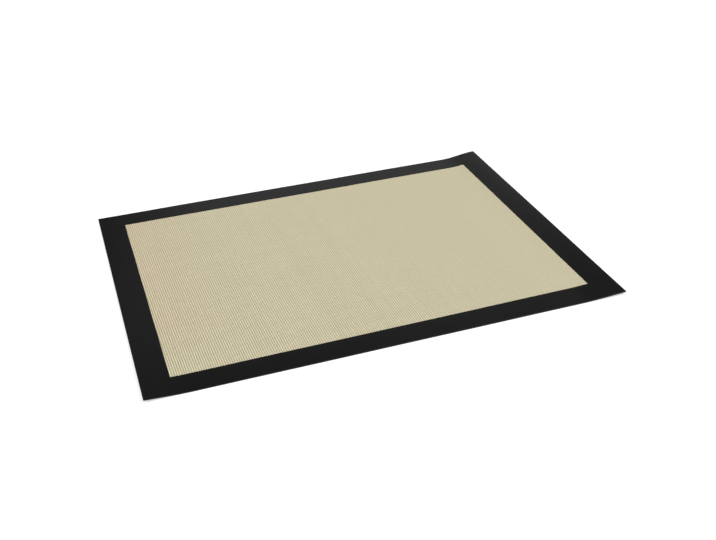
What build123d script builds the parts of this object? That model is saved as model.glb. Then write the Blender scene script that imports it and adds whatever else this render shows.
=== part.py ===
from build123d import *
import os

# Silicone baking mat: a woven glass-fibre cloth between two coats of silicone
# rubber, with a black silicone border on both faces and a black seal round the
# cut edge. Millimetres. The origin is the centre of the underside, +X runs
# along the long side, +Y along the short side and +Z up.

# ---------------------------------------------------------------- dimensions
mat_length = 400.0       # long side, over the edge seal
mat_width = 300.0        # short side, over the edge seal
corner_radius = 1.0      # outer corners, cut almost square
border_width = 22.5      # from the outer edge to the bare field, on both faces

coat_thickness = 0.21    # silicone over the cloth, on each face
cloth_thickness = 0.28   # two crossing flat yarns of 0.14 each
ink_proud = 0.06         # how far the upper border stands above the coat
ink_key = 0.02           # how deep the upper border is keyed into the coat
underside_ink = 0.06     # the lower border, pressed flush into its coat
seal_width = 0.60        # the bead round the cut edge, measured outwards
seal_round = 0.20        # the bead's rounded outer arrises

# ------------------------------------------------------------------- derived
cut_length = mat_length - 2 * seal_width      # the laminate as it is cut
cut_width = mat_width - 2 * seal_width
field_length = mat_length - 2 * border_width  # the bare field in the middle
field_width = mat_width - 2 * border_width

cloth_low = coat_thickness
cloth_high = cloth_low + cloth_thickness
laminate_top = cloth_high + coat_thickness    # the baking surface
border_top = laminate_top + ink_proud         # the highest face

os.makedirs("parts", exist_ok=True)


# A flat sheet of the laminate's own outline between two heights.
def sheet(low, high):
    return Pos(0, 0, (low + high) / 2) * Box(cut_length, cut_width, high - low)


# The border's frame: the laminate's outline less the bare field.
def frame(low, high):
    hole = Pos(0, 0, (low + high) / 2) * Box(field_length, field_width, high - low)
    return sheet(low, high) - hole


# ------------------------------------------------- the laminate, bottom to top
# The black frame on the underside is pressed flush into the lower coat, which
# has a shallow rebate for it, so the whole underside is one plane.
bottom_border = frame(0, underside_ink)
bottom_silicone_coat = sheet(0, cloth_low) - bottom_border

# The woven cloth as one closed sheet, cut flush with the coats.
glass_cloth = sheet(cloth_low, cloth_high)

# The upper coat's face is the baking surface. The black frame printed on it
# bites a little way into the coat and stands proud of it.
top_border = frame(laminate_top - ink_key, border_top)
top_silicone_coat = sheet(cloth_high, laminate_top) - top_border

# ------------------------------------------------------------ the edge seal
# A thin bead of black silicone all the way round the cut edge. It covers the
# ends of the cloth's yarns, and its outer arrises are rounded.
with BuildPart() as bead:
    with BuildSketch():
        RectangleRounded(mat_length, mat_width, corner_radius)
        Rectangle(cut_length, cut_width, mode=Mode.SUBTRACT)
    extrude(amount=border_top)
    flat_edges = [
        edge
        for edge in bead.part.edges()
        if abs(edge.center().Z) < 1e-6 or abs(edge.center().Z - border_top) < 1e-6
    ]
    arrises = [
        edge
        for edge in flat_edges
        if abs(edge.center().X) > cut_length / 2 + 0.1
        or abs(edge.center().Y) > cut_width / 2 + 0.1
    ]
    fillet(arrises, seal_round)
edge_seal = bead.part

# ------------------------------------------------------------------- output
nodes = {
    "bottom_border": bottom_border,
    "bottom_silicone_coat": bottom_silicone_coat,
    "glass_cloth": glass_cloth,
    "top_silicone_coat": top_silicone_coat,
    "top_border": top_border,
    "edge_seal": edge_seal,
}
for name, shape in nodes.items():
    export_step(shape, f"parts/{name}.step")
    print(name, len(shape.solids()), "solids", round(shape.volume, 1), "mm3")
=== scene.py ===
import math

import bpy
import numpy as np
from mathutils import Matrix


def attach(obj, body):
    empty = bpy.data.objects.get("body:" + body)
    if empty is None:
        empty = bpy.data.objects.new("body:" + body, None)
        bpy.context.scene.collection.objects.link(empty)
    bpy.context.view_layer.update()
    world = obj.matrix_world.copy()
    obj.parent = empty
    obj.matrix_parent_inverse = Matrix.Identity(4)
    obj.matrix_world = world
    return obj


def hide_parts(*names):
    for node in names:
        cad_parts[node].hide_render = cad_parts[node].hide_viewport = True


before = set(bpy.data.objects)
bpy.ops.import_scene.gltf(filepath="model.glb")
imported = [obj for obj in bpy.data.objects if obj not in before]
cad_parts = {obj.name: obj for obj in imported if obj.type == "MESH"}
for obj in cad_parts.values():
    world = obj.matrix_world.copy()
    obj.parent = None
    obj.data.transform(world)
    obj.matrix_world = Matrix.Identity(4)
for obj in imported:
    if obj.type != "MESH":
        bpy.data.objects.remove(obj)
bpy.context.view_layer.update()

# The silicone baking mat: a woven glass cloth between two silicone coats, a black
# border on both faces and a black bead round the cut edge. The meshes are laid up
# flat in millimetres, +Z up, and lay() then gives every layer the same set: the
# two short ends still curl up a little from having been stored rolled.

# ------------------------------------------------------------------ the sizes
LONG, WIDE = 400.0, 300.0
SEAL = 0.6
BORDER = 22.5
CUT_X, CUT_Y = LONG / 2 - SEAL, WIDE / 2 - SEAL          # the laminate's half sizes
FIELD_X, FIELD_Y = LONG / 2 - BORDER, WIDE / 2 - BORDER  # the bare field's
NX, NY = 192, 138                                        # yarns across the field
PX, PY = 2 * FIELD_X / NX, 2 * FIELD_Y / NY              # the weave's pitch
GRAIN = 0.028                                            # tangent of the angle that the cloth is cut off its grain
LAP = 4                                                  # yarns that a coat's woven face runs on under the border
UNDER_INK = 0.06
CLOTH_LOW, CLOTH_HIGH = 0.21, 0.49
COAT_TOP = 0.70
INK_LOW, INK_TOP = 0.68, 0.76
CORNER = 1.0                                             # the outer corners' radius

# ------------------------------------------------------- how the mat lies
# End curl: lift of the short ends in mm, at the near (-Y) and far (+Y) corner, and
# how far in from the end it starts.
RIGHT_NEAR, RIGHT_FAR, RIGHT_RUN_NEAR, RIGHT_RUN_FAR = 1.72, 3.74, 41.5, 36.5
LEFT_NEAR, LEFT_FAR, LEFT_RUN = 1.64, 0.0, 36.0


def soft_ramp(t, c=0.4):
    """0 up to t = 0, then it bends into a nearly straight rise to 1 at t = 1."""
    t = np.clip(t, 0, 1.2)
    return (np.sqrt(t * t + c * c) - c) / (math.sqrt(1 + c * c) - c)


def s_ramp(t):
    t = np.clip(t, 0, 1)
    return t * t * (3 - 2 * t)


def height(x, y):
    """How far the underside stands off the table at a place on the flat mat, in mm."""
    v = np.clip(y / WIDE + 0.5, 0, 1)
    run = RIGHT_RUN_NEAR + (RIGHT_RUN_FAR - RIGHT_RUN_NEAR) * v
    t = (x - (LONG / 2 - run)) / run
    lift = (RIGHT_NEAR + (RIGHT_FAR - RIGHT_NEAR) * v) * (
        (1 - v) * 0.8 * soft_ramp(t) + (0.2 + 0.8 * v) * s_ramp(t)
    )
    t = (-x - (LONG / 2 - LEFT_RUN)) / LEFT_RUN
    lift = lift + (LEFT_NEAR + (LEFT_FAR - LEFT_NEAR) * v) * soft_ramp(t)
    # the field isn't quite flat either: long shallow waves, about 0.2 mm high
    wave = (
        np.sin(x / 29.0 + 0.6 + 0.7 * np.sin(y / 61.0))
        * np.cos(y / 37.0 - 0.9 + 0.5 * np.sin(x / 83.0))
        + 0.6 * np.sin(x / 17.0 - y / 26.0 + 2.0)
    )
    return lift + 0.055 * (wave + 1.6)


def lay(p):
    """Flat lay-up to the mat as it lies: each point keeps its distance from the underside."""
    x, y, z = p.T
    e = 0.25
    h = height(x, y)
    sx = (height(x + e, y) - height(x - e, y)) / (2 * e)
    sy = (height(x, y + e) - height(x, y - e)) / (2 * e)
    n = np.stack([-sx, -sy, np.ones_like(x)], 1)
    n /= np.linalg.norm(n, axis=1)[:, None]
    # the curled ends draw in a little, since the cloth doesn't stretch
    v = np.clip(y / WIDE + 0.5, 0, 1)
    right = RIGHT_NEAR + (RIGHT_FAR - RIGHT_NEAR) * v
    left = LEFT_NEAR + (LEFT_FAR - LEFT_NEAR) * v
    draw = 0.6 * right**2 / 38 * np.clip((x - 160) / 40, 0, 1) ** 2
    draw = draw - 0.6 * left**2 / 38 * np.clip((-x - 160) / 40, 0, 1) ** 2
    flat = np.stack([x - draw, y, h], 1)
    return flat + n * z[:, None]


# ------------------------------------------------------------------ mesh tools
rng = np.random.default_rng(7)
YARN_X = rng.normal(0, 1, 400)   # each yarn's own height and shade
YARN_Y = rng.normal(0, 1, 400)


class Shell:
    """Triangles for one closed piece, gathered part by part and welded at the end."""

    def __init__(self):
        self.points, self.faces, self.charts, self.count = [], [], [], 0

    def add(self, points):
        base = self.count
        self.points.append(np.asarray(points, float).reshape(-1, 3))
        self.count += len(self.points[-1])
        return base

    def tris(self, t, chart=0):
        t = np.asarray(t, int).reshape(-1, 3)
        self.faces.append(t)
        self.charts.append(np.full(len(t), chart))

    def lattice(self, xs, ys, surface, keep=None, down=False, chart=0):
        """A woven face: crests on the yarn lines, a dimple in the middle of each cell.
        surface(x, y, kind, i, j) gives z, with kind 0 for a crest, 1 for the saddle
        between two crests on a weft line, 2 for a dimple. Returns a loop maker."""
        xs, ys = np.asarray(xs, float), np.asarray(ys, float)
        n, m = len(xs) - 1, len(ys) - 1
        xm, ym = (xs[1:] + xs[:-1]) / 2, (ys[1:] + ys[:-1]) / 2
        made = []
        for kind, (gx, gy) in enumerate([(xs, ys), (xm, ys), (xm, ym)]):
            i, j = np.meshgrid(np.arange(len(gx)), np.arange(len(gy)), indexing="ij")
            x, y = gx[i], gy[j]
            made.append(self.add(np.stack([x, y, surface(x, y, kind, i, j)], -1)))
        crest = made[0] + np.arange((n + 1) * (m + 1)).reshape(n + 1, m + 1)
        saddle = made[1] + np.arange(n * (m + 1)).reshape(n, m + 1)
        dimple = made[2] + np.arange(n * m).reshape(n, m)
        ring = [crest[:-1, :-1], saddle[:, :-1], crest[1:, :-1], crest[1:, 1:], saddle[:, 1:], crest[:-1, 1:]]
        fans = []
        for k in range(6):
            a, b = ring[k], ring[(k + 1) % 6]
            fans.append(np.stack([dimple, b, a] if down else [dimple, a, b], -1))
        fans = np.stack(fans, 2)
        if keep is not None:
            fans = fans[keep]
        self.tris(fans, chart)

        def loop(a=0, b=n, c=0, d=m):
            """Round the cells a..b by c..d, counterclockwise from above: (indices, places along it)."""
            ids, at = [], []
            for k in range(a, b):
                ids += [crest[k, c], saddle[k, c]]
                at += [(xs[k] - xs[a]) / (xs[b] - xs[a]), (xm[k] - xs[a]) / (xs[b] - xs[a])]
            for k in range(c, d):
                ids.append(crest[b, k])
                at.append(1 + (ys[k] - ys[c]) / (ys[d] - ys[c]))
            for k in range(b, a, -1):
                ids += [crest[k, d], saddle[k - 1, d]]
                at += [2 + (xs[b] - xs[k]) / (xs[b] - xs[a]), 2 + (xs[b] - xm[k - 1]) / (xs[b] - xs[a])]
            for k in range(d, c, -1):
                ids.append(crest[a, k])
                at.append(3 + (ys[d] - ys[k]) / (ys[d] - ys[c]))
            return np.array(ids), np.array(at)

        return loop

    def panel(self, xs, ys, z, keep=None, down=False, chart=0):
        """A plain level face on a grid of its own."""
        xs, ys = np.asarray(xs, float), np.asarray(ys, float)
        n, m = len(xs) - 1, len(ys) - 1
        x, y = np.meshgrid(xs, ys, indexing="ij")
        base = self.add(np.stack([x, y, np.full_like(x, z)], -1))
        g = base + np.arange((n + 1) * (m + 1)).reshape(n + 1, m + 1)
        a, b, c, d = g[:-1, :-1], g[1:, :-1], g[1:, 1:], g[:-1, 1:]
        quads = np.stack([np.stack([a, b, c], -1), np.stack([a, c, d], -1)], 2)
        if down:
            quads = quads[..., ::-1]
        self.tris(quads if keep is None else quads[keep], chart)

        def loop(i0=0, i1=n, j0=0, j1=m):
            ids = (
                [g[k, j0] for k in range(i0, i1)]
                + [g[i1, k] for k in range(j0, j1)]
                + [g[k, j1] for k in range(i1, i0, -1)]
                + [g[i0, k] for k in range(j1, j0, -1)]
            )
            at = (
                [(xs[k] - xs[i0]) / (xs[i1] - xs[i0]) for k in range(i0, i1)]
                + [1 + (ys[k] - ys[j0]) / (ys[j1] - ys[j0]) for k in range(j0, j1)]
                + [2 + (xs[i1] - xs[k]) / (xs[i1] - xs[i0]) for k in range(i1, i0, -1)]
                + [3 + (ys[j1] - ys[k]) / (ys[j1] - ys[j0]) for k in range(j1, j0, -1)]
            )
            return np.array(ids), np.array(at)

        return loop

    def zip(self, upper, lower, flip=False, chart=0):
        """Joins two loops round the same rectangle. Unflipped, it faces away from the middle."""
        (a, ta), (b, tb) = upper, lower
        ta, tb = list(ta) + [4.0], list(tb) + [4.0]
        na, nb, i, j, t = len(a), len(b), 0, 0, []
        while i < na or j < nb:
            if j >= nb or (i < na and ta[i + 1] <= tb[j + 1] + 1e-9):
                t.append((a[i], b[j % nb], a[(i + 1) % na]))
                i += 1
            else:
                t.append((a[i % na], b[j], b[(j + 1) % nb]))
                j += 1
        t = np.array(t)
        self.tris(t[:, ::-1] if flip else t, chart)

    def ring(self, loop, move):
        """A copy of a loop with its points moved by move(points)."""
        ids, at = loop
        every = np.concatenate(self.points)
        base = self.add(move(every[ids].copy()))
        return base + np.arange(len(ids)), at

    def mesh(self, name, place=None, chart_uv=None, shade=0.55):
        """Welds, lays and makes the Blender object."""
        p, f, c = np.concatenate(self.points), np.concatenate(self.faces), np.concatenate(self.charts)
        key = np.round(p, 5)
        _, first, back = np.unique(key, axis=0, return_index=True, return_inverse=True)
        back = back.reshape(-1)
        f = back[f]
        real = (f[:, 0] != f[:, 1]) & (f[:, 1] != f[:, 2]) & (f[:, 2] != f[:, 0])
        f, c = f[real], c[real]
        p = p[first]
        used = np.unique(f)
        new = np.full(len(p), -1)
        new[used] = np.arange(len(used))
        p, f = p[used], new[f]
        laid = lay(p) if place is None else place(p)
        me = bpy.data.meshes.new(name)
        me.vertices.add(len(p))
        me.vertices.foreach_set("co", (laid * 1e-3).astype(np.float32).ravel())
        me.loops.add(f.size)
        me.loops.foreach_set("vertex_index", f.astype(np.int32).ravel())
        me.polygons.add(len(f))
        me.polygons.foreach_set("loop_start", np.arange(0, f.size, 3, dtype=np.int32))
        me.update(calc_edges=True)
        me.validate()
        me.shade_smooth()
        me.set_sharp_from_angle(angle=shade)
        if chart_uv is not None:
            uv = np.zeros((len(f), 3, 2))
            for k in np.unique(c):
                mine = c == k
                uv[mine] = chart_uv(int(k), p[f[mine]])
            layer = me.uv_layers.new(name="OFBake")
            layer.uv.foreach_set("vector", uv.astype(np.float32).ravel())
        ob = bpy.data.objects.new(name, me)
        bpy.context.scene.collection.objects.link(ob)
        return ob


def lines(half, pitch, count, outer):
    """Yarn lines from -outer to outer: count whole pitches within +-half, then on to the edge."""
    inside = np.linspace(-half, half, count + 1)
    extra = [half + pitch * k for k in range(1, 40) if half + pitch * k < outer - 0.35 * pitch]
    return np.array([-v for v in [outer] + extra[::-1]] + list(inside) + extra + [outer])


# Plain faces need close lines only where the mat curls.
def plain_lines(inner, outer, fine):
    ends = list(np.linspace(inner, outer, max(int(round((outer - inner) / fine)), 1) + 1))
    curl = list(np.linspace(inner - 44, inner, 19)) if fine < 3 else []
    middle_to = curl[0] if curl else inner
    middle = list(np.linspace(-middle_to, middle_to, int(2 * middle_to / 8) + 1))
    right = sorted(set([round(v, 6) for v in curl + ends]))
    return np.array(sorted(set([round(-v, 6) for v in right] + [round(v, 6) for v in middle] + right)))


LAP_X, LAP_Y = FIELD_X + LAP * PX, FIELD_Y + LAP * PY   # the coat's woven face
FOOT_X, FOOT_Y = FIELD_X + PX, FIELD_Y + PY             # how far out the border's foot is finely cut
WEAVE_X = lines(FIELD_X, PX, NX, CUT_X)
WEAVE_Y = lines(FIELD_Y, PY, NY, CUT_Y)
SIDE_X = int(np.argmin(abs(WEAVE_X + FIELD_X)))  # index of the field's first line
SIDE_Y = int(np.argmin(abs(WEAVE_Y + FIELD_Y)))
PLAIN_X = plain_lines(FOOT_X, CUT_X, 2.0)
PLAIN_Y = plain_lines(FOOT_Y, CUT_Y, 4.0)


def lines_at(lines_of, place):
    """The two lines, on either side of the middle, that are nearest to +-place."""
    return int(np.argmin(abs(lines_of + place))), int(np.argmin(abs(lines_of - place)))


RIM_X = min(v for v in PLAIN_X if v > LAP_X + 0.3)      # a coat is plain from here outwards
RIM_Y = min(v for v in PLAIN_Y if v > LAP_Y + 0.3)
HOLE_X, HOLE_Y = lines_at(PLAIN_X, RIM_X), lines_at(PLAIN_Y, RIM_Y)
INNER_X, INNER_Y = lines_at(PLAIN_X, FOOT_X), lines_at(PLAIN_Y, FOOT_Y)


def off_grain(p):
    """Turns the weave by the angle that the cloth is cut off its grain. The cut edge stays where it is."""
    out = np.maximum((abs(p[:, 0]) - RIM_X) / (CUT_X - RIM_X), (abs(p[:, 1]) - RIM_Y) / (CUT_Y - RIM_Y))
    share = np.clip(1 - out, 0, 1)
    return np.stack([p[:, 0] - GRAIN * p[:, 1] * share, p[:, 1] + GRAIN * p[:, 0] * share, p[:, 2]], 1)


def hole_mask(nx, ny, hx, hy):
    keep = np.ones((nx, ny), bool)
    keep[hx[0]:hx[1], hy[0]:hy[1]] = False
    return keep


def woven(level, crest, saddle, dimple, alternate, spread, sign=1.0, covered=None):
    """The height of a coat that follows the cloth: sign is +1 for an upper face. Where the
    border covers it, it's level at the height covered."""
    steps = [crest, saddle, dimple]

    def surface(x, y, kind, i, j):
        own = spread * (YARN_X[i % 400] + 0.6 * YARN_Y[j % 400])
        over = alternate * np.where((i + j) % 2 == 0, 1.0, -1.0) if kind < 2 else 0.0
        z = level + sign * (steps[kind] + over + own * (1.0 if kind < 2 else 0.4))
        if covered is None:
            return z
        under = (abs(x - GRAIN * y) > FIELD_X + 1.9) | (abs(y + GRAIN * x) > FIELD_Y + 1.9)
        return np.where(under, covered, z)

    return surface


# ------------------------------------------------------------------ the pieces
def fit(points, x0, x1, y0, y1, u0, u1, v0, v1):
    u = u0 + (points[..., 0] - x0) / (x1 - x0) * (u1 - u0)
    v = v0 + (points[..., 1] - y0) / (y1 - y0) * (v1 - v0)
    return np.stack([u, v], -1)


def coat_uv(chart, p):
    """Chart 1 is the woven face, chart 0 everything that other pieces cover."""
    if chart == 1:
        return fit(p, -LAP_X, LAP_X, -LAP_Y, LAP_Y, 0.004, 0.996, 0.085, 0.996)
    y = p[..., 1] + 2.0 * p[..., 2]
    return fit(np.stack([p[..., 0], y], -1), -CUT_X, CUT_X, -CUT_Y, CUT_Y + 1.5, 0.004, 0.996, 0.004, 0.078)


def border_uv(chart, p):
    """Four strips, one over the other: near, far, left and right."""
    x, y = p[..., 0], p[..., 1]
    if chart in (1, 2):
        low = -WIDE / 2 if chart == 1 else FIELD_Y - 2
        v0 = 0.01 + 0.23 * (chart - 1)
        return fit(p, -LONG / 2, LONG / 2, low, low + BORDER + 2, 0.004, 0.996, v0, v0 + 0.215)
    if chart in (3, 4):
        low = -LONG / 2 if chart == 3 else FIELD_X - 2
        v0 = 0.01 + 0.23 * (chart - 1)
        return fit(np.stack([y, x], -1), -FIELD_Y, FIELD_Y, low, low + BORDER + 2, 0.004, 0.996, v0, v0 + 0.215)
    return fit(np.stack([x, y + 2.0 * p[..., 2]], -1), -LONG / 2, LONG / 2, -WIDE / 2, WIDE / 2 + 2, 0.004, 0.996, 0.935, 0.996)


def make_coat(name, upper):
    """A silicone coat. Its outer face follows the weave, and is a little lower under the border."""
    s = Shell()
    xs = np.linspace(-LAP_X, LAP_X, NX + 2 * LAP + 1)
    ys = np.linspace(-LAP_Y, LAP_Y, NY + 2 * LAP + 1)
    if upper:
        band, inner = INK_LOW, CLOTH_HIGH
        face = s.lattice(xs, ys, woven(COAT_TOP, 0.018, -0.002, -0.030, 0.007, 0.0022, covered=band - 0.001), chart=1)
    else:
        band, inner = UNDER_INK, CLOTH_LOW
        surface = woven(0.012, 0.012, -0.010, -0.050, 0.0, 0.0, -1.0, covered=band + 0.001)
        face = s.lattice(xs, ys, surface, down=True, chart=1)
    keep = hole_mask(len(PLAIN_X) - 1, len(PLAIN_Y) - 1, HOLE_X, HOLE_Y)
    ring = s.panel(PLAIN_X, PLAIN_Y, band, keep=keep, down=not upper)
    back = s.panel(PLAIN_X, PLAIN_Y, inner, down=upper)
    if upper:
        s.zip(face(), ring(HOLE_X[0], HOLE_X[1], HOLE_Y[0], HOLE_Y[1]))
        s.zip(ring(), back())
    else:
        s.zip(ring(HOLE_X[0], HOLE_X[1], HOLE_Y[0], HOLE_Y[1]), face())
        s.zip(back(), ring())
    return s.mesh(name, place=lambda p: lay(off_grain(p)), chart_uv=coat_uv)


def print_edge(p):
    """The inner edge of a printed border isn't dead true: it runs out by under a millimetre."""
    x, y = p[:, 0].copy(), p[:, 1].copy()
    u, v = x / FIELD_X, y / FIELD_Y
    near, far = -0.30 - 0.80 * u, 0.05 + 0.22 * u
    left, right = -0.45, 0.22 + 0.26 * v
    w = np.clip(v / 2 + 0.5, 0, 1)
    dy = far * w - near * (1 - w)
    w = np.clip(u / 2 + 0.5, 0, 1)
    dx = right * w - left * (1 - w)
    ragged = 0.035 * (np.sin(x * 1.9 + 0.4 * y) + np.sin(x * 4.3 + y * 3.7 + 1.0) + np.sin(y * 2.3 - 0.7 * x))
    p[:, 0] += dx + ragged * (abs(u) > 0.999)
    p[:, 1] += dy + ragged * (abs(v) > 0.999)
    return p


def make_border(name, upper):
    """The black frame, with a faint print-through of the weave on its shown face."""
    s = Shell()
    nx, ny = len(WEAVE_X) - 1, len(WEAVE_Y) - 1
    hx, hy = (SIDE_X, nx - SIDE_X), (SIDE_Y, ny - SIDE_Y)
    keep = hole_mask(nx, ny, hx, hy)
    if upper:
        surface = woven(INK_TOP - 0.004, 0.006, 0.0, -0.010, 0.002, 0.0008)
    else:
        # it stands a hair proud of the lower coat's crests
        surface = woven(-0.018, 0.004, -0.002, -0.014, 0.0, 0.0, -1.0)
    # the strips are charts 1 to 4
    i, j = np.meshgrid(np.arange(nx), np.arange(ny), indexing="ij")
    strips = {1: j < hy[0], 2: j >= hy[1]}
    strips[3] = (i < hx[0]) & ~strips[1] & ~strips[2]
    strips[4] = (i >= hx[1]) & ~strips[1] & ~strips[2]
    for chart, cells in strips.items():
        face = s.lattice(WEAVE_X, WEAVE_Y, surface, keep=cells & keep, down=not upper, chart=chart)
    inner, outer = face(hx[0], hx[1], hy[0], hy[1]), face()
    low = INK_LOW if upper else UNDER_INK
    keep = hole_mask(len(PLAIN_X) - 1, len(PLAIN_Y) - 1, INNER_X, INNER_Y)
    back = s.panel(PLAIN_X, PLAIN_Y, low, keep=keep, down=upper)
    hole = back(INNER_X[0], INNER_X[1], INNER_Y[0], INNER_Y[1])

    def inwards(amount, z):
        def move(p):
            p[:, 0] -= np.clip(p[:, 0] / FIELD_X, -1, 1) * amount * (abs(p[:, 0]) > FIELD_X - 0.01)
            p[:, 1] -= np.clip(p[:, 1] / FIELD_Y, -1, 1) * amount * (abs(p[:, 1]) > FIELD_Y - 0.01)
            p[:, 2] = z
            return p
        return move

    if upper:
        # a rounded inner edge, and then a narrow lap on the coat down to the key
        last = inner
        for amount, z in [(0.08, 0.754), (0.15, 0.738), (0.19, 0.716), (0.20, INK_LOW)]:
            step = s.ring(inner, inwards(amount, z))
            s.zip(last, step, flip=True)
            last = step
        s.zip(last, hole, flip=True)
        s.zip(outer, back())
    else:
        last = inner
        for amount, z in [(0.05, -0.010), (0.06, UNDER_INK)]:
            step = s.ring(inner, inwards(amount, z))
            s.zip(step, last, flip=True)
            last = step
        s.zip(hole, last, flip=True)
        s.zip(back(), outer)

    def place(p):
        # the inner edge's own run-out fades to nothing at the cut edge
        flat = np.stack([np.clip(p[:, 0], -FIELD_X, FIELD_X), np.clip(p[:, 1], -FIELD_Y, FIELD_Y), p[:, 2]], 1)
        moved = print_edge(flat.copy()) - flat
        out = np.maximum((abs(p[:, 0]) - FIELD_X) / (CUT_X - FIELD_X), (abs(p[:, 1]) - FIELD_Y) / (CUT_Y - FIELD_Y))
        moved *= np.clip(1 - out, 0, 1)[:, None]
        return lay(p + moved)

    return s.mesh(name, place=place, chart_uv=border_uv)


def make_cloth(name):
    """The glass cloth's two faces: every crossing stands out, on alternate sides."""
    s = Shell()
    xs, ys = WEAVE_X, WEAVE_Y
    n, m = len(xs), len(ys)
    i, j = np.meshgrid(np.arange(n), np.arange(m), indexing="ij")
    over = (i + j) % 2 == 0
    edge = (i == 0) | (i == n - 1) | (j == 0) | (j == m - 1)
    top = np.where(over, CLOTH_HIGH - 0.005, CLOTH_HIGH - 0.075)
    low = np.where(over, CLOTH_LOW + 0.075, CLOTH_LOW + 0.005)
    top, low = np.where(edge, CLOTH_HIGH - 0.04, top), np.where(edge, CLOTH_LOW + 0.04, low)
    grids = []
    for z in (top, low):
        base = s.add(np.stack([xs[i], ys[j], z], -1))
        grids.append(base + np.arange(n * m).reshape(n, m))
    for g, turn in ((grids[0], False), (grids[1], True)):
        a, b, c, d = g[:-1, :-1], g[1:, :-1], g[1:, 1:], g[:-1, 1:]
        q = np.stack([np.stack([a, b, c], -1), np.stack([a, c, d], -1)], 2)
        s.tris(q[..., ::-1] if turn else q)

    def loop(g):
        ids = np.concatenate([g[:-1, 0], g[-1, :-1], g[:0:-1, -1], g[0, :0:-1]])
        at = np.concatenate([
            np.arange(n - 1) / (n - 1), 1 + np.arange(m - 1) / (m - 1),
            2 + np.arange(n - 1) / (n - 1), 3 + np.arange(m - 1) / (m - 1)])
        return ids, at

    s.zip(loop(grids[0]), loop(grids[1]))
    return s.mesh(name, place=lambda p: lay(off_grain(p)))


def make_seal(name):
    """The bead round the cut edge: one rounded section carried round the outline."""
    section = [(0, 0.76), (0.20, 0.762), (0.36, 0.752), (0.48, 0.715), (0.56, 0.63), (0.60, 0.48), (0.60, 0.30),
               (0.57, 0.14), (0.50, 0.05), (0.38, -0.004), (0.20, -0.018), (0, -0.018)]
    side_x = [v for v in PLAIN_X if abs(v) < LONG / 2 - CORNER - 0.8]
    side_y = [v for v in PLAIN_Y if abs(v) < WIDE / 2 - CORNER - 0.8]
    path = []   # (inner point, outer point)
    cx, cy = LONG / 2 - CORNER, WIDE / 2 - CORNER
    for turn in range(4):
        a = turn * 90.0
        if turn == 0:
            path += [((x, -CUT_Y), (x, -WIDE / 2)) for x in [-cx] + side_x + [cx]][1:-1]
            corner, start = (cx, -cy), -90.0
            inner = (CUT_X, -CUT_Y)
        elif turn == 1:
            path += [((CUT_X, y), (LONG / 2, y)) for y in side_y]
            corner, start = (cx, cy), 0.0
            inner = (CUT_X, CUT_Y)
        elif turn == 2:
            path += [((x, CUT_Y), (x, WIDE / 2)) for x in side_x[::-1]]
            corner, start = (-cx, cy), 90.0
            inner = (-CUT_X, CUT_Y)
        else:
            path += [((-CUT_X, y), (-LONG / 2, y)) for y in side_y[::-1]]
            corner, start = (-cx, -cy), 180.0
            inner = (-CUT_X, -CUT_Y)
        for k in range(9):
            t = math.radians(start + 90.0 * k / 8)
            path.append((inner, (corner[0] + CORNER * math.cos(t), corner[1] + CORNER * math.sin(t))))
    s = Shell()
    rows = []
    for (ix, iy), (ox, oy) in path:
        rows.append(s.add([(ix + (ox - ix) * u / SEAL, iy + (oy - iy) * u / SEAL, z) for u, z in section]))
    k = len(section)
    quads = []
    for r in range(len(rows)):
        a, b = rows[r], rows[(r + 1) % len(rows)]
        for e in range(k):
            f = (e + 1) % k
            quads += [(a + e, a + f, b + f), (a + e, b + f, b + e)]
    s.tris(quads)
    return s.mesh(name, shade=0.9)


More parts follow.
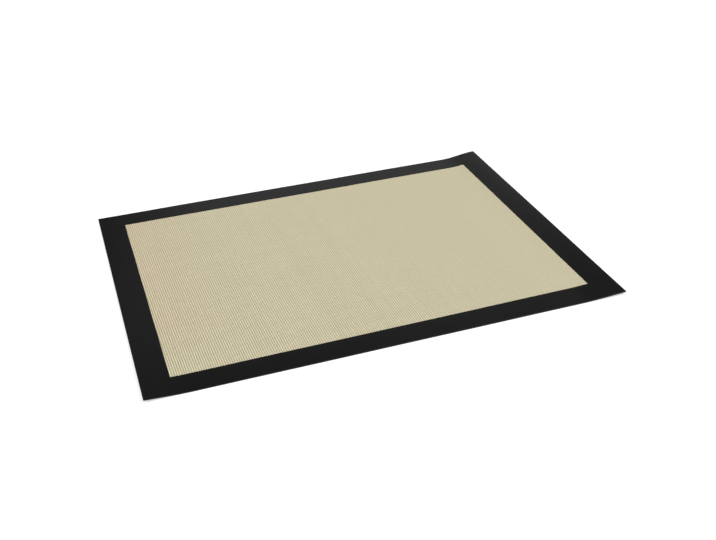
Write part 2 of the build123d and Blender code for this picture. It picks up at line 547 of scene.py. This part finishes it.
# ------------------------------------------------------------------ materials
class Nodes:
    """Short forms for building a node material."""

    def __init__(self, name, colour, roughness, ior):
        self.material = bpy.data.materials.new(name)
        self.material.use_nodes = True
        self.tree = self.material.node_tree
        self.tree.nodes.clear()
        self.out = self.tree.nodes.new("ShaderNodeOutputMaterial")
        self.shader = self.tree.nodes.new("ShaderNodeBsdfPrincipled")
        self.tree.links.new(self.shader.outputs[0], self.out.inputs[0])
        self.shader.inputs["Base Color"].default_value = (*colour, 1)
        self.shader.inputs["Roughness"].default_value = roughness
        self.shader.inputs["IOR"].default_value = ior
        place = self.tree.nodes.new("ShaderNodeTexCoord")
        self.place = place.outputs["Object"]
        apart = self.tree.nodes.new("ShaderNodeSeparateXYZ")
        self.tree.links.new(self.place, apart.inputs[0])
        self.x, self.y, self.z = apart.outputs

    def put(self, socket, value):
        if hasattr(value, "links") or isinstance(value, bpy.types.NodeSocket):
            self.tree.links.new(value, socket)
        else:
            socket.default_value = value

    def math(self, op, *values, clamp=False):
        node = self.tree.nodes.new("ShaderNodeMath")
        node.operation, node.use_clamp = op, clamp
        for k, v in enumerate(values):
            self.put(node.inputs[k], v)
        return node.outputs[0]

    def add(self, *values):
        total = values[0]
        for v in values[1:]:
            total = self.math("ADD", total, v)
        return total

    def times(self, a, b):
        return self.math("MULTIPLY", a, b)

    def wave(self, value, turns=1.0):
        """cos(2 pi turns value)"""
        return self.math("COSINE", self.times(value, 2 * math.pi * turns))

    def vector(self, x, y, z):
        node = self.tree.nodes.new("ShaderNodeCombineXYZ")
        for socket, v in zip(node.inputs, (x, y, z)):
            self.put(socket, v)
        return node.outputs[0]

    def noise(self, scale, detail=2.0, rough=0.5, at=None, stretch=None):
        """Noise round 0, about -0.5 to 0.5. scale is per metre."""
        node = self.tree.nodes.new("ShaderNodeTexNoise")
        node.inputs["Scale"].default_value = scale
        node.inputs["Detail"].default_value = detail
        node.inputs["Roughness"].default_value = rough
        where = at or self.place
        if stretch:
            scaled = self.tree.nodes.new("ShaderNodeVectorMath")
            scaled.operation = "MULTIPLY"
            self.tree.links.new(where, scaled.inputs[0])
            scaled.inputs[1].default_value = stretch
            where = scaled.outputs[0]
        self.tree.links.new(where, node.inputs["Vector"])
        return self.math("SUBTRACT", node.outputs[0], 0.5)

    def from_middle(self, value):
        """How far a value is from the nearest whole number, 0 to 0.5."""
        return self.math("ABSOLUTE", self.math("SUBTRACT", self.math("FRACT", self.add(value, 1000.5)), 0.5))

    def random(self, value):
        """One random number, -0.5 to 0.5, for each whole number that value rounds to."""
        node = self.tree.nodes.new("ShaderNodeTexWhiteNoise")
        node.noise_dimensions = "1D"
        self.tree.links.new(self.math("ROUND", value), node.inputs["W"])
        return self.math("SUBTRACT", node.outputs[0], 0.5)

    def random_crossing(self):
        """One random number, -0.5 to 0.5, for each crossing of the yarns."""
        node = self.tree.nodes.new("ShaderNodeTexWhiteNoise")
        node.noise_dimensions = "3D"
        place = self.vector(self.math("ROUND", self.u), self.math("ROUND", self.v), 0.5)
        self.tree.links.new(place, node.inputs["Vector"])
        return self.math("SUBTRACT", node.outputs[0], 0.5)

    def mix(self, share, a, b):
        node = self.tree.nodes.new("ShaderNodeMix")
        node.data_type = "RGBA"
        self.put(node.inputs[0], share)
        for socket, v in ((node.inputs[6], a), (node.inputs[7], b)):
            self.put(socket, (*v, 1) if isinstance(v, tuple) else v)
        return node.outputs[2]

    def step(self, value, low, high, a, b):
        """a up to low, b from high on, and smooth between them."""
        node = self.tree.nodes.new("ShaderNodeMapRange")
        node.interpolation_type = "SMOOTHSTEP"
        self.put(node.inputs[0], value)
        for k, v in enumerate((low, high, a, b)):
            node.inputs[k + 1].default_value = v
        return node.outputs[0]

    def scale_colour(self, colour, by):
        node = self.tree.nodes.new("ShaderNodeVectorMath")
        node.operation = "SCALE"
        self.put(node.inputs[0], colour)
        self.put(node.inputs["Scale"], by)
        return node.outputs[0]

    def bump(self, height, distance, strength=1.0, before=None):
        node = self.tree.nodes.new("ShaderNodeBump")
        node.inputs["Strength"].default_value = strength
        node.inputs["Distance"].default_value = distance
        self.put(node.inputs["Height"], height)
        if before is not None:
            self.tree.links.new(before, node.inputs["Normal"])
        return node.outputs[0]

    def weave(self, grain):
        """The cloth's two sets of yarns under the silicone, in step with the mesh's relief."""
        drift = self.times(self.noise(38.0, 1.0), 0.10)
        size = 1 + grain * grain
        self.u = self.add(self.times(self.x, 1000 / PX / size), self.times(self.y, 1000 * grain / PX / size), drift)
        drift = self.times(self.noise(31.0, 1.0, at=self.vector(self.y, self.x, 3.0)), 0.10)
        self.v = self.add(self.times(self.y, 1000 / PY / size), self.times(self.x, -1000 * grain / PY / size), drift)
        self.warp = self.add(0.5, self.times(self.wave(self.u), 0.5))      # 1 on a yarn along Y
        self.weft = self.add(0.5, self.times(self.wave(self.v), 0.5))      # 1 on a yarn along X
        self.over = self.add(0.5, self.times(self.times(self.wave(self.u, 0.5), self.wave(self.v, 0.5)), 0.5))
        # each yarn is a rounded band. The warp ones are the stouter, and rise a little where
        # they pass over; a weft one comes up only where it passes over. over is 1 where the
        # warp is on top of a crossing and 0 where the weft is.
        aside = self.math("MULTIPLY", self.from_middle(self.u), 2.0)
        band = self.math("SUBTRACT", 1.0, self.times(self.times(aside, aside), 0.97))
        self.ridge = self.times(band, self.math("MULTIPLY_ADD", self.over, 0.28, 0.72))
        aside = self.math("DIVIDE", self.from_middle(self.v), 0.45)
        band = self.math("MAXIMUM", self.math("SUBTRACT", 1.0, self.times(aside, aside)), 0.0)
        under = self.math("SUBTRACT", 1.0, self.over)
        self.cross = self.times(band, self.math("MULTIPLY_ADD", self.times(under, under), 0.60, 0.20))
        self.cloth = self.math("SMOOTH_MAX", self.ridge, self.cross, 0.15)   # 0 in the holes to 1 on the crests
        # the filaments run along whichever yarn is on top
        on_warp = self.math("MULTIPLY_ADD", self.math("SUBTRACT", self.ridge, self.cross), 5.0, 0.5, clamp=True)
        along_y = self.noise(1.0, 2.0, 0.6, stretch=(6500.0, 260.0, 1.0))
        along_x = self.noise(1.0, 2.0, 0.6, stretch=(260.0, 6500.0, 1.0))
        self.threads = self.add(self.times(along_y, on_warp), self.times(along_x, self.math("SUBTRACT", 1.0, on_warp)))


def coat_material(name, light, dark, contrast, roughness, relief, end=(1.0, 1.0, 1.0), far=0.0, fade=0.0):
    """end is what the colour is multiplied by at the left-hand end, short of its near corner,
    far is how much paler it gets per metre towards the far side, with the ends a little darker,
    all painted light falloff, and fade is how much of the weave's contrast is lost at the right."""
    n = Nodes(name, light, roughness, 1.41)
    n.weave(GRAIN)
    to_end = n.math("MULTIPLY_ADD", n.x, -1 / 0.060, -0.106 / 0.060, clamp=True)
    to_end = n.times(to_end, n.math("MULTIPLY_ADD", n.y, 1 / 0.050, 0.115 / 0.050, clamp=True))
    light, dark = (n.mix(to_end, shade, tuple(a * b for a, b in zip(shade, end))) for shade in (light, dark))
    # how much the yarn shows through: the crests of the warp are the palest, the gaps
    # between four crossings hold the thickest silicone and are the deepest in colour
    pale = n.add(n.cloth, n.times(n.threads, 0.16), n.times(n.random(n.u), 0.05), n.times(n.random(n.add(n.v, 500.0)), 0.03))
    pale = n.add(pale, n.times(n.random_crossing(), 0.09))
    # the silicone is a little thicker towards the right-hand far corner, which hides more of the weave
    shown = n.add(contrast, n.times(n.x, -0.42 * contrast * 1000 / FIELD_X), n.times(n.y, -0.28 * contrast * 1000 / FIELD_Y))
    shown = n.times(shown, n.step(n.add(n.x, n.times(n.y, 0.45)), -0.025, 0.090, 1.0, 1.0 - fade))
    # and it's uneven from place to place
    shown = n.times(shown, n.math("MULTIPLY_ADD", n.noise(120.0, 2.0, 0.6), 1.4, 1.0))
    pale = n.math("MULTIPLY_ADD", n.math("SUBTRACT", pale, 0.606), shown, 0.5, clamp=True)
    colour = n.mix(pale, dark, light)
    cloud = n.add(1.0, n.times(n.noise(18.0, 2.0, 0.5), 0.024), n.times(n.noise(160.0, 2.0, 0.5), 0.010), n.times(n.noise(2600.0, 1.0), 0.02))
    # painted light falloff: paler towards the far side and a little darker towards both ends, in place of the lights'
    # own falloff
    painted_light_falloff = n.add(1.0 + 0.09 * far, n.times(n.y, far), n.times(n.times(n.x, n.x), -5.0 * far))
    colour = n.scale_colour(colour, n.times(cloud, painted_light_falloff))
    n.put(n.shader.inputs["Base Color"], colour)
    n.put(n.shader.inputs["Roughness"], n.add(roughness, n.times(n.noise(70.0, 2.0), 0.10), n.times(n.warp, -0.05)))
    first = n.bump(n.add(n.cloth, n.times(n.threads, 0.14)), relief)
    second = n.bump(n.noise(4200.0, 2.0, 0.6), 0.000006, before=first)
    n.put(n.shader.inputs["Normal"], second)
    return n.material


def black_material(name, base, roughness, relief, grain):
    n = Nodes(name, base, roughness, 1.41)
    n.weave(0.0)
    cloud = n.add(1.0, n.times(n.noise(24.0, 3.0, 0.6), 0.30), n.times(n.noise(900.0, 2.0, 0.6), 0.22), n.times(n.warp, 0.10))
    n.put(n.shader.inputs["Base Color"], n.scale_colour((*base,), cloud))
    n.put(n.shader.inputs["Roughness"], n.add(roughness, n.times(n.noise(55.0, 3.0, 0.6), 0.10), n.times(n.noise(2400.0, 1.0), 0.06)))
    first = n.bump(n.cloth, relief)
    second = n.bump(n.noise(3600.0, 3.0, 0.65), grain, before=first)
    n.put(n.shader.inputs["Normal"], second)
    return n.material


def cloth_material(name):
    n = Nodes(name, (0.68, 0.64, 0.50), 0.6, 1.5)
    n.weave(GRAIN)
    shown = n.math("GREATER_THAN", n.over, 0.5)
    along_y = n.noise(1.0, 2.0, 0.6, stretch=(9000.0, 200.0, 1.0))
    along_x = n.noise(1.0, 2.0, 0.6, stretch=(200.0, 9000.0, 1.0))
    streaks = n.add(n.times(along_y, shown), n.times(along_x, n.math("SUBTRACT", 1.0, shown)))
    gap = n.math("POWER", n.math("SUBTRACT", 1.0, n.math("MAXIMUM", n.warp, n.weft)), 2.0)
    colour = n.mix(gap, (0.70, 0.66, 0.53), (0.30, 0.28, 0.20))
    n.put(n.shader.inputs["Base Color"], n.scale_colour(colour, n.add(1.0, n.times(streaks, 0.35))))
    n.put(n.shader.inputs["Normal"], n.bump(n.add(n.times(n.over, 0.6), n.times(streaks, 0.4)), 0.00008))
    return n.material


upper_coat = make_coat("baking_surface_coat", True)
lower_coat = make_coat("underside_coat", False)
upper_border = make_border("upper_border", True)
lower_border = make_border("lower_border", False)
cloth = make_cloth("woven_glass_cloth")
seal = make_seal("rim_seal")

BEIGE_LIGHT, BEIGE_DARK = (0.700, 0.6455, 0.4680), (0.275, 0.2415, 0.1444)
upper_coat.data.materials.append(coat_material("beige_silicone_upper", BEIGE_LIGHT, BEIGE_DARK, 0.88, 0.56, 0.00004, end=(1.0, 0.952, 0.958), far=0.10, fade=0.40))
lower_coat.data.materials.append(coat_material("beige_silicone_lower", (0.540, 0.500, 0.350), (0.380, 0.343, 0.220), 1.15, 0.66, 0.00005))
upper_border.data.materials.append(black_material("black_silicone_upper", (0.0031, 0.0031, 0.0030), 0.245, 0.000008, 0.000005))
lower_border.data.materials.append(black_material("black_silicone_lower", (0.0036, 0.0036, 0.0035), 0.34, 0.000014, 0.000006))
seal.data.materials.append(black_material("black_silicone_rim", (0.0031, 0.0031, 0.0030), 0.50, 0.000002, 0.000006))
cloth.data.materials.append(cloth_material("glass_cloth_yarns"))

for piece, node, slot in (
    (upper_coat, "top_silicone_coat", "beige_silicone"),
    (lower_coat, "bottom_silicone_coat", "beige_silicone"),
    (upper_border, "top_border", "black_silicone"),
    (lower_border, "bottom_border", "black_silicone"),
    (cloth, "glass_cloth", "glass_fibre"),
    (seal, "edge_seal", "black_silicone"),
):
    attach(piece, "root")
    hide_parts(node)

# ------------------------------------------------------------------ the studio
floor_mesh = bpy.data.meshes.new("floor")
half, low = 9.0, -0.00004
floor_mesh.from_pydata([(-half, -half, low), (half, -half, low), (half, half, low), (-half, half, low)], [], [(0, 1, 2, 3)])
floor = bpy.data.objects.new("floor", floor_mesh)
bpy.context.scene.collection.objects.link(floor)
paper = bpy.data.materials.new("white_paper")
paper.use_nodes = True
paper.node_tree.nodes["Principled BSDF"].inputs["Base Color"].default_value = (0.45, 0.45, 0.45, 1)
paper.node_tree.nodes["Principled BSDF"].inputs["Emission Color"].default_value = (1, 1, 1, 1)
# it stays white far out, where the lights don't reach
p_nodes, p_links = paper.node_tree.nodes, paper.node_tree.links
p_place, p_reach, p_glow = p_nodes.new("ShaderNodeTexCoord"), p_nodes.new("ShaderNodeVectorMath"), p_nodes.new("ShaderNodeMapRange")
p_reach.operation, p_glow.interpolation_type = "LENGTH", "SMOOTHSTEP"
p_links.new(p_place.outputs["Object"], p_reach.inputs[0])
p_links.new(p_reach.outputs["Value"], p_glow.inputs[0])
for k, v in enumerate((0.5, 2.5, 0.62, 1.02)):
    p_glow.inputs[k + 1].default_value = v
p_links.new(p_glow.outputs[0], p_nodes["Principled BSDF"].inputs["Emission Strength"])
paper.node_tree.nodes["Principled BSDF"].inputs["Roughness"].default_value = 1.0
paper.node_tree.nodes["Principled BSDF"].inputs["Specular IOR Level"].default_value = 0.0
floor_mesh.materials.append(paper)


def area_light(name, place, aim, size, power, colour=(1, 1, 1)):
    data = bpy.data.lights.new(name, "AREA")
    data.shape, data.size, data.size_y, data.energy, data.color = "RECTANGLE", size[0], size[1], power, colour
    ob = bpy.data.objects.new(name, data)
    bpy.context.scene.collection.objects.link(ob)
    ob.location = place
    look = (Matrix.Translation(aim).to_translation() - ob.location).to_track_quat("-Z", "Y")
    ob.rotation_mode = "QUATERNION"
    ob.rotation_quaternion = look
    return ob


# two soft boxes, one on each side, so that neither shines back off the black border from
# above or from the photograph's side
area_light("left_box", (-1.75, -0.15, 1.95), (0, 0, 0), (1.5, 1.8), 46.5, (1.0, 0.995, 0.985))
area_light("right_box", (1.75, -0.15, 1.95), (0, 0, 0), (1.5, 1.8), 67.6, (1.0, 0.995, 0.985))

world = bpy.data.worlds.new("studio")
bpy.context.scene.world = world
world.use_nodes = True
wt = world.node_tree
wt.nodes.clear()
w_out = wt.nodes.new("ShaderNodeOutputWorld")
w_mix = wt.nodes.new("ShaderNodeMixShader")
w_seen = wt.nodes.new("ShaderNodeBackground")
w_lit = wt.nodes.new("ShaderNodeBackground")
w_path = wt.nodes.new("ShaderNodeLightPath")
w_seen.inputs[0].default_value = (1.0, 1.0, 1.0, 1)
w_seen.inputs[1].default_value = 1.0
w_place = wt.nodes.new("ShaderNodeTexCoord")
w_apart = wt.nodes.new("ShaderNodeSeparateXYZ")
wt.links.new(w_place.outputs["Generated"], w_apart.inputs[0])


def w_math(op, *values):
    node = wt.nodes.new("ShaderNodeMath")
    node.operation = op
    for k, v in enumerate(values):
        if isinstance(v, bpy.types.NodeSocket):
            wt.links.new(v, node.inputs[k])
        else:
            node.inputs[k].default_value = v
    return node.outputs[0]


def w_step(value, low, high, at_low=0.0, at_high=1.0):
    """A smooth step from one value to another."""
    node = wt.nodes.new("ShaderNodeMapRange")
    node.interpolation_type = "SMOOTHSTEP"
    wt.links.new(value, node.inputs[0])
    for k, v in enumerate((low, high, at_low, at_high)):
        node.inputs[k + 1].default_value = v
    return node.outputs[0]


# The room is dim, apart from a pale screen behind the mat, above the floor. Its left-hand
# edge is EDGE degrees right of +Y, and it goes on round to the right, with its top edge
# sloping down that way.
EDGE = 5.5
w_side = w_math("MULTIPLY", w_math("ARCTAN2", w_apart.outputs[0], w_apart.outputs[1]), 180 / math.pi)
w_rise = w_math("MULTIPLY", w_math("ARCSINE", w_apart.outputs[2]), 180 / math.pi)
w_screen = w_math("MULTIPLY", w_step(w_side, EDGE - 0.5, EDGE + 0.5), w_step(w_side, 60, 85, 1, 0))
w_slope = w_math("MULTIPLY_ADD", w_math("MAXIMUM", w_side, 23.0), 0.35, -27 * 0.35)
w_bright = w_math("ADD", w_step(w_math("ADD", w_rise, w_slope), 30, 35, 0.395, 0.036), w_step(w_rise, 8, 18, -0.27, 0.0))
w_room = w_step(w_rise, 30, 35, 0.080, 0.126)
w_level = w_math("ADD", w_room, w_math("MULTIPLY", w_screen, w_math("SUBTRACT", w_bright, w_room)))
w_lit.inputs[0].default_value = (1, 1, 1, 1)
wt.links.new(w_level, w_lit.inputs[1])
wt.links.new(w_path.outputs["Is Camera Ray"], w_mix.inputs[0])
wt.links.new(w_lit.outputs[0], w_mix.inputs[1])
wt.links.new(w_seen.outputs[0], w_mix.inputs[2])
wt.links.new(w_mix.outputs[0], w_out.inputs[0])

# ------------------------------------------------------------------ the camera
# The photograph's view, for an image of 716 x 540: the focal length in pixels, the
# azimuth, elevation and roll in degrees, the point in the middle of the image and
# how far away it is, in millimetres.
FOCAL, AZIMUTH, ELEVATION, ROLL = 962.40, -18.2729, 31.2109, -1.6600
AIM, DISTANCE = (4.58, -32.03, 0.0), 843.775
a, e, r = math.radians(AZIMUTH), math.radians(ELEVATION), math.radians(ROLL)
back = np.array([math.sin(a) * math.cos(e), -math.cos(a) * math.cos(e), math.sin(e)])
right = np.array([math.cos(a), math.sin(a), 0.0])
up = np.cross(back, right)
right, up = right * math.cos(r) + up * math.sin(r), -right * math.sin(r) + up * math.cos(r)
at = (np.array(AIM) + back * DISTANCE) * 1e-3
camera_data = bpy.data.cameras.new("camera")
camera_data.sensor_width = 36.0
camera_data.sensor_fit = "HORIZONTAL"
camera_data.lens = FOCAL / 716 * 36.0
camera_data.clip_start = 0.01
camera_data.clip_end = 60
camera = bpy.data.objects.new("camera", camera_data)
bpy.context.scene.collection.objects.link(camera)
camera.matrix_world = Matrix([
    [right[0], up[0], back[0], at[0]],
    [right[1], up[1], back[1], at[1]],
    [right[2], up[2], back[2], at[2]],
    [0, 0, 0, 1],
])
bpy.context.scene.camera = camera

view = bpy.context.scene.view_settings
view.view_transform = "Standard"
view.look = "None"
view.exposure = 0.0
view.gamma = 1.0

bpy.context.view_layer.update()
